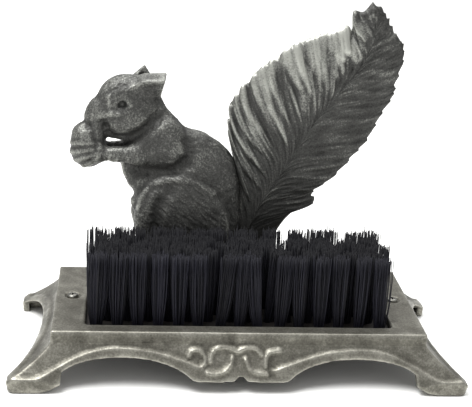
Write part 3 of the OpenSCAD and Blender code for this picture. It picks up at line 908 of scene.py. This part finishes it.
def build_tail(sizes):
    """The leaf-shaped tail: bold locks over its left half, long fine grooves over its right half."""
    along, across = 260, 72
    k = np.linspace(0, len(TAIL_STATIONS) - 1, along + 1)

    def smooth_through(points):
        path = smooth_path(points, 20)
        places = np.linspace(0, len(points) - 1, len(path))
        return np.stack([np.interp(k, places, path[:, i]) for i in (0, 1)], axis=1)

    spine, left, right = (smooth_through(line) for line in zip(*TAIL_STATIONS))

    def directions(path):
        way_on = np.gradient(path, axis=0)
        return way_on / np.linalg.norm(way_on, axis=1, keepdims=True)

    heading = directions(spine)
    left_out = directions(left)[:, ::-1] * [-1, 1]
    right_out = directions(right)[:, ::-1] * [1, -1]
    s = (k / k[-1])[:, None]
    # share of the way round the left edge, so that the locks there are even in width
    steps = np.linalg.norm(np.diff(left, axis=0, prepend=left[:1]), axis=1)
    way = (np.cumsum(steps) / steps.sum())[:, None]
    t = np.sin(np.linspace(-1, 1, 2 * across + 1) * math.pi / 2)[None, :]
    depth = sizes.lock / MM
    half_thick = (TAIL_HIGH[1] - TAIL_LOW[1]) / 2
    away = np.abs(t) + 0 * s
    s = s + 0 * t
    on_left = t + 0 * s < 0
    grow = np.clip((s - 0.1) / 0.12, 0, 1)
    tip_fade = np.clip((1 - s) / 0.15, 0, 1) ** 0.5

    def left_or_right(on_the_left, on_the_right):
        return np.where(on_left[..., None], on_the_left, on_the_right)

    rings = []
    tail_wear_and_light = []
    for side, seed in ((-1, 40), (1, 60)):
        warp = sheet_noise(s * 22, away * 2.5, seed)
        round_edge = way + 0 * t + warp * 0.004
        # three overlapping tiers of locks, from the edge inwards
        outer = lock_heights(round_edge, away, seed, 20, 0.3, (0.1, 0.6), 0.68, 0.5)
        middle = lock_heights(round_edge, away * 1.25, seed + 1, 23, 0.26, (0.1, 0.45), 0.5, 0.4)
        middle = middle * np.clip((0.86 - away) / 0.2, 0, 1)
        inner = lock_heights(round_edge, away * 1.7, seed + 5, 27, 0.2, (0.05, 0.4), 0.5, 0.4)
        inner = inner * np.clip((0.62 - away) / 0.2, 0, 1)
        bold = np.maximum(outer, np.maximum(middle * 0.75, inner * 0.5))
        # long grooves, steep on the side that faces the tip
        phase = s * 26 + warp * 0.35 + 0.9 * away
        comb = (phase % 1.0) ** 1.4
        comb = comb * np.clip((1 - (phase % 1.0)) / 0.16, 0, 1)
        comb = comb * (0.65 + 0.35 * sheet_noise(np.floor(phase), away * 2, seed + 2))
        hairs = sheet_noise(np.where(on_left, way * 190, s * 130), away * 6, seed + 3)
        relief = np.where(on_left, bold * depth, comb * depth * 0.5) * grow * tip_fade
        spine_fade = np.clip(away / 0.1, 0, 1)
        # the points of the left locks lie over a right half that is full along the spine
        relief = np.maximum(relief * spine_fade, 0.42 * depth * (1 - away) ** 1.5 * grow * tip_fade)
        relief = relief + hairs * 0.36 * grow * tip_fade

        boundary = left_or_right(left[:, None, :], right[:, None, :])
        root = spine[:, None, :]
        far = np.linalg.norm(boundary - root, axis=2, keepdims=True)
        # the left locks run out nearly upright, the right ones level out
        arrive = left_or_right(np.array([-0.12, 1.0]), np.array([0.86, 0.5]))
        outward = left_or_right(left_out[:, None, :], right_out[:, None, :])
        # serrated rim: each lock runs a little past the edge
        reach = np.where(on_left, (bold - 0.5) * 4.4, (comb - 0.3) * 2.4)
        rim = np.clip((away - 0.55) / 0.45, 0, 1) ** 2 * grow * np.clip((1 - s) / 0.05, 0, 1)
        rim = rim * np.where(on_left, np.clip((0.8 - s) / 0.08, 0, 1), 1)
        boundary = boundary + (0.75 * outward + 0.5 * arrive) * (reach * rim)[..., None]
        leave = root + far * 0.3 * heading[:, None, :]
        arrive = boundary - far * 0.36 * arrive
        a = away[..., None]
        flat = (1 - a) ** 3 * root + 3 * a * (1 - a) ** 2 * leave
        flat = flat + 3 * a**2 * (1 - a) * arrive + a**3 * boundary

        body = half_thick * (1 - 0.5 * away**1.6) - depth * 0.5
        body = body * (0.45 + 0.55 * np.clip((1.02 - s) / 0.3, 0, 1))
        thick = (body + relief * 0.8) * (1 - away**8) ** 0.5
        thick = np.minimum(thick, half_thick + 1.5)
        rings.append(np.stack([flat[..., 0], side * thick, flat[..., 1]], axis=2))
        # the upper left half is drawn brightest and the crests of locks and grooves lighter the higher they
        # lie, while the gaps between them stay dark: partly where hands and weather rub it, partly painted
        # light from the upper left and painted shade in the gaps
        height = np.clip((flat[..., 1] - 85) / 85, 0, 1)
        left_wear_and_light = 0.34 + bold**1.2 * (0.22 + 0.36 * height) + 0.16 * away * height
        tone = np.where(on_left, left_wear_and_light, 0.37 + comb * (0.14 + 0.14 * height))
        # the tip is plainer and darker again
        tone = tone + (0.5 - tone) * np.where(on_left, 1.0, 0.4) * np.clip((s - 0.8) / 0.1, 0, 1)
        tail_wear_and_light.append(tone + hairs * np.where(on_left, 0.15, 0.1))

    # the far side joins the near one along both edges
    points = np.concatenate([rings[0], rings[1][:, -2:0:-1]], axis=1)
    wear_and_light = np.concatenate([tail_wear_and_light[0], tail_wear_and_light[1][:, -2:0:-1]], axis=1)
    faces = tube_faces(*wear_and_light.shape)
    points = points.reshape(-1, 3) + FIGURE_ORIGIN
    points[:, 2] = np.clip(points[:, 2], PLATE_TOP, TAIL_HIGH[2])
    points[:, 0] = np.minimum(points[:, 0], TAIL_HIGH[0])
    return new_object("tail_casting", points, faces, {"wear_and_light": wear_and_light.ravel()})


# ---------- brush ----------


def tuft_filaments(rng, x, y, radius, tip_radius, floor, hole_top, top, count, wild):
    """Centre lines of one tuft's filaments: upright in the hole, then fanning out to the cut ends."""
    filament_room = 0.35
    widen_along = 1.08
    angle = rng.uniform(0, 2 * math.pi, count)
    reach = np.sqrt(rng.uniform(0, 1, count))
    root = np.stack([np.cos(angle), np.sin(angle)], axis=1) * reach[:, None] * (radius - filament_room)
    lean = rng.normal(0, 0.6, 2) + [rng.normal(0, 1.5 * wild), 0]
    tip = np.stack([np.cos(angle) * widen_along, np.sin(angle)], axis=1) * reach[:, None] * tip_radius
    tip = tip + lean + rng.normal(0, 0.45, (count, 2))
    bow = rng.normal(0, 0.5, (count, 2))
    # most ends are cut level, and a few stray out above the rest
    ends = top - rng.uniform(0, 1.3) - rng.gamma(1.2, 0.55, count)
    ends = ends + np.where(rng.uniform(0, 1, count) < 0.07, rng.uniform(0, 2.6, count), 0)
    lines = []
    for share in (0.0, 0.2, 0.3, 0.5, 0.75, 1.0):
        z = floor + (ends - floor) * share
        rise = np.clip((z - hole_top) / (ends - hole_top), 0, 1)[:, None]
        place = root + (tip - root) * rise**0.5 + bow * np.sin(rise * math.pi)
        lines.append(np.column_stack([place + [x, y], z]))
    return np.stack(lines, axis=1)


def build_row(sizes, row):
    """One row of tufts as separate filaments, from the roots at the floor of their holes to the cut ends."""
    low, high = node_box(f"bristle_row_{row}")
    root_low, root_high = node_box(f"tuft_roots_{row}")
    hole_top = node_box("brush_block")[1][2]
    hole_floor = root_low[2] + 0.4
    tip_d = high[1] - low[1]
    tufts = FRONT_TUFTS - (row + 1) % 2
    centres = np.linspace(low[0] + tip_d / 2, high[0] - tip_d / 2, tufts)
    y = (low[1] + high[1]) / 2
    rng = np.random.default_rng(500 + row)
    radius = (root_high[1] - root_low[1]) / 2
    # the back row stands a little taller, and the open front row keeps its tufts apart
    top = high[2] + (2.6 if row == ROWS else 1.2)
    spread = tip_d / 2 + (0.2 if row == 1 else 0.8)
    lines = []
    for i, x in enumerate(centres):
        # use has ruffled the middle of each row
        wild = 1.6 if 5 < i < 10 else 0.6
        tuft = tuft_filaments(rng, x, y, radius, spread, hole_floor, hole_top, top, sizes.filaments, wild)
        lines.append(tuft)
    lines = np.concatenate(lines)
    # the outermost tufts splay towards the ends of the opening
    rise = np.clip((lines[..., 2] - hole_top) / (top - hole_top), 0, 1)
    end = np.clip((np.abs(lines[..., 0]) - centres[-1] + tip_d / 2) / tip_d, 0, 1)
    lines[..., 0] += np.sign(lines[..., 0]) * end * (rise**0.3 - 0.6 * rise) * 5.0
    count, rings = lines.shape[:2]
    turn = rng.uniform(0, math.pi / 2, count)
    shade = np.repeat(rng.uniform(0.3, 0.75, tufts), sizes.filaments) + rng.uniform(-0.3, 0.3, count)
    thick = sizes.filament / MM / 2 * rng.uniform(0.85, 1.15, count)
    sides = 4
    # the cut ends are worn a little thinner
    taper = np.array([1, 1, 1, 1, 1, 0.8])[None, :, None]
    points = np.zeros((count, rings, sides, 3))
    for k in range(sides):
        angle = turn + k * 2 * math.pi / sides
        offset = np.stack([np.cos(angle) * thick, np.sin(angle) * thick, 0 * thick], axis=1)
        points[:, :, k] = lines + offset[:, None, :] * taper
    faces = []
    for f in range(count):
        faces += tube_faces(rings, sides, f * rings * sides)
    # painted shade: the cut ends stand close together, so their colour is darkened towards the tips, and only
    # a little in the open front row
    painted_tip_shade = 0.3 if row == 1 else 1.0
    tone_and_tip_shade = shade[:, None] * (1 - painted_tip_shade * np.clip((rise - 0.6) / 0.3, 0, 1))
    tone_and_tip_shade = np.repeat(tone_and_tip_shade.ravel(), sides)
    return new_object(f"bristles_row_{row}", points.reshape(-1, 3), faces, {"shade": tone_and_tip_shade})


# ---------- screws ----------


def build_screw(name, node):
    """A cross-head pan screw with a wood thread."""
    low, high = node_box(node)
    centre = np.array([(low[0] + high[0]) / 2, (low[1] + high[1]) / 2, high[2]])
    head_r = (high[0] - low[0]) / 2
    length = high[2] - low[2]
    cell = 0.2
    head_h, dome_r = 2.6, 1.15 * head_r * 2
    slot_half_w, slot_half_l, slot_depth = 0.55, 2.2, 1.9
    thread_pitch, thread_h, core_r, point_h = 1.8, 0.35, 1.75, 4.0
    s = Sculpt((-head_r, -head_r, -length), (head_r, head_r, 0), cell)
    x, y, z = s.everywhere()
    radius = np.hypot(x, y)
    dome = np.sqrt(x * x + y * y + (z + dome_r) ** 2) - dome_r
    head = soft_max(soft_max(radius - head_r + 0.05 + 0 * z, dome, 1.0), -head_h - z, 0.3)
    slots = [np.maximum(np.abs(u) - slot_half_w, np.abs(v) - slot_half_l) for u, v in ((x, y), (y, x))]
    head = soft_max(head, -soft_max(np.minimum(*slots), -slot_depth - z, 0.3), 0.25)
    turn = (z / thread_pitch - np.arctan2(y, x) / (2 * math.pi)) % 1.0
    ridge = thread_h * np.clip(1 - np.abs(turn - 0.5) * 4, 0, 1)
    shank = np.maximum(radius - core_r - ridge, z + 2.2)
    point = radius - core_r - thread_h + np.clip(point_h - length - z, 0, point_h) * 0.5
    shank = np.maximum(np.maximum(shank, point), -length + 0.1 - z)
    s.field = soft_min(head, shank, 0.3).astype(np.float32)
    points, faces = s.mesh()
    return new_object(name, points + centre, faces, {"wear_and_light": s.wear_and_light(points)})


# ---------- operators ----------


class BuildBaseCasting(bpy.types.Operator):
    """Build the base casting with its beads and scrolls"""

    bl_idname = "boot_brush.base_casting"
    bl_label = "Base casting"

    def execute(self, context):
        colours = context.scene.boot_brush_colours
        tones = (colours.base_hollow_and_shade, colours.base_iron, colours.base_rubbed)
        iron = sand_cast_iron("Sand-cast iron base", *tones, grain_mm=1.3, roughness=0.46)
        piece = build_base(context.scene.boot_brush_sizes)
        finish_piece(piece, iron, "base", ["base_frame"])
        return {"FINISHED"}


class BuildSquirrelCasting(bpy.types.Operator):
    """Build the squirrel and its tail"""

    bl_idname = "boot_brush.squirrel_casting"
    bl_label = "Squirrel and tail"

    def execute(self, context):
        colours = context.scene.boot_brush_colours
        tones = (colours.figure_hollow_and_shade, colours.figure_iron, colours.figure_rubbed_and_lit)
        iron = sand_cast_iron("Sand-cast iron figure", *tones, grain_mm=1.1, roughness=0.5)
        sizes = context.scene.boot_brush_sizes
        finish_piece(build_squirrel(sizes), iron, "base", ["squirrel_body"])
        finish_piece(build_tail(sizes), iron, "base", ["squirrel_tail"])
        return {"FINISHED"}


class BuildBristles(bpy.types.Operator):
    """Build the five rows of bristles, filament by filament"""

    bl_idname = "boot_brush.bristles"
    bl_label = "Bristles"

    def execute(self, context):
        sizes = context.scene.boot_brush_sizes
        nylon = nylon_filament("Black nylon filament", context.scene.boot_brush_colours.nylon)
        for row in range(1, ROWS + 1):
            piece = build_row(sizes, row)
            finish_piece(piece, nylon, replaces=[f"bristle_row_{row}", f"tuft_roots_{row}"])
            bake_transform(piece)
        return {"FINISHED"}


class BuildScrews(bpy.types.Operator):
    """Build the two brush screws"""

    bl_idname = "boot_brush.screws"
    bl_label = "Brush screws"

    def execute(self, context):
        steel = plated_steel("Zinc plated steel screw", context.scene.boot_brush_colours.steel, 0.3)
        for side in ("left", "right"):
            node = f"brush_screw_{side}"
            finish_piece(build_screw(f"pan_screw_{side}", node), steel, "base", [node])
        return {"FINISHED"}


class FinishHiddenParts(bpy.types.Operator):
    """Give the block, anchors, dowels, bolts and washers their materials"""

    bl_idname = "boot_brush.hidden_parts"
    bl_label = "Block, anchors and fixings"

    def execute(self, context):
        colours = context.scene.boot_brush_colours
        beech = stained_beech("Stained beech block", colours.wood)
        wire = plated_steel("Tinned steel wire", colours.wire, 0.28)
        fixing = plated_steel("Zinc plated steel fixing", colours.steel, 0.34)
        finishes = {"brush_block": beech}
        finishes.update({f"tuft_anchors_{row}": wire for row in range(1, ROWS + 1)})
        for side in ("left", "right"):
            finishes.update({f"mounting_bolt_{side}": fixing, f"bolt_washer_{side}": fixing})
        finishes.update({f"tail_dowel_{place}": fixing for place in ("lower", "upper")})
        for name, material in finishes.items():
            finish_piece(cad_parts[name], material)
        return {"FINISHED"}


class BuildStage(bpy.types.Operator):
    """Lay the floor, hang the lights and set the camera"""

    bl_idname = "boot_brush.stage"
    bl_label = "Floor, lights and camera"

    def execute(self, context):
        scene = context.scene
        size = 12000.0
        corners = [(-size, -size, 0), (size, -size, 0), (size, size, 0), (-size, size, 0)]
        floor = new_object("floor", corners, [(0, 1, 2, 3)])
        # a hair below the feet
        floor.location.z = -0.0002
        finish_piece(floor, painted_floor("Matt pale floor paint", scene.boot_brush_colours.floor))

        scene.world = bpy.data.worlds.new("studio")
        scene.world.use_nodes = True
        background = scene.world.node_tree.nodes["Background"]
        background.inputs["Color"].default_value = (1.0, 1.0, 1.0, 1.0)
        background.inputs["Strength"].default_value = 0.56

        def softbox(name, place, target, size, power):
            light = bpy.data.lights.new(name, "AREA")
            light.shape = "RECTANGLE"
            light.size, light.size_y = size
            light.energy = power
            lamp = bpy.data.objects.new(name, light)
            lamp.location = place
            lamp.rotation_euler = (Vector(target) - Vector(place)).to_track_quat("-Z", "Y").to_euler()
            scene.collection.objects.link(lamp)

        softbox("key_softbox", (-0.62, -0.3, 1.55), (0, 0, 0.08), (1.0, 0.8), 33)
        softbox("top_softbox", (0.3, 0.6, 2.0), (0, 0.1, 0), (2.4, 2.0), 36)

        # looking down over the front of the brush, from a little to its left
        place = (-0.0796, -0.7756, 0.3666)
        pitch, yaw, roll = 0.3196, 0.0989, 0.0524
        ahead = Vector((math.sin(yaw) * math.cos(pitch), math.cos(yaw) * math.cos(pitch), -math.sin(pitch)))
        level = Vector((math.cos(yaw), -math.sin(yaw), 0))
        up = level.cross(ahead)
        right = level * math.cos(roll) + up * math.sin(roll)
        up = up * math.cos(roll) - level * math.sin(roll)
        camera = bpy.data.objects.new("camera", bpy.data.cameras.new("camera"))
        camera.data.lens = 91.53
        camera.data.sensor_width = 36.0
        camera.matrix_world = Matrix.Translation(place) @ Matrix((right, up, -ahead)).transposed().to_4x4()
        scene.collection.objects.link(camera)
        scene.camera = camera
        scene.view_settings.view_transform = "Standard"
        return {"FINISHED"}


BUILDERS = (
    BuildBaseCasting, BuildSquirrelCasting, BuildBristles, BuildScrews, FinishHiddenParts, BuildStage,
)


class BootBrushPanel(bpy.types.Panel):
    """Lists the pieces of the boot brush"""

    bl_idname = "VIEW3D_PT_boot_brush"
    bl_label = "Boot brush"
    bl_space_type = "VIEW_3D"
    bl_region_type = "UI"
    bl_category = "Boot brush"

    def draw(self, context):
        for group in (context.scene.boot_brush_sizes, context.scene.boot_brush_colours):
            column = self.layout.column()
            for key in group.bl_rna.properties.keys():
                if key not in ("rna_type", "name"):
                    column.prop(group, key)
        for builder in BUILDERS:
            self.layout.operator(builder.bl_idname)


CLASSES = (BootBrushSizes, BootBrushColours, *BUILDERS, BootBrushPanel)


def register():
    for item in CLASSES:
        bpy.utils.register_class(item)
    bpy.types.Scene.boot_brush_sizes = PointerProperty(type=BootBrushSizes)
    bpy.types.Scene.boot_brush_colours = PointerProperty(type=BootBrushColours)


def unregister():
    del bpy.types.Scene.boot_brush_colours
    del bpy.types.Scene.boot_brush_sizes
    for item in reversed(CLASSES):
        bpy.utils.unregister_class(item)


def main():
    """Builds every piece in order."""
    register()
    bpy.ops.boot_brush.stage()
    bpy.ops.boot_brush.base_casting()
    bpy.ops.boot_brush.squirrel_casting()
    bpy.ops.boot_brush.bristles()
    bpy.ops.boot_brush.screws()
    bpy.ops.boot_brush.hidden_parts()


if __name__ == "__main__":
    main()
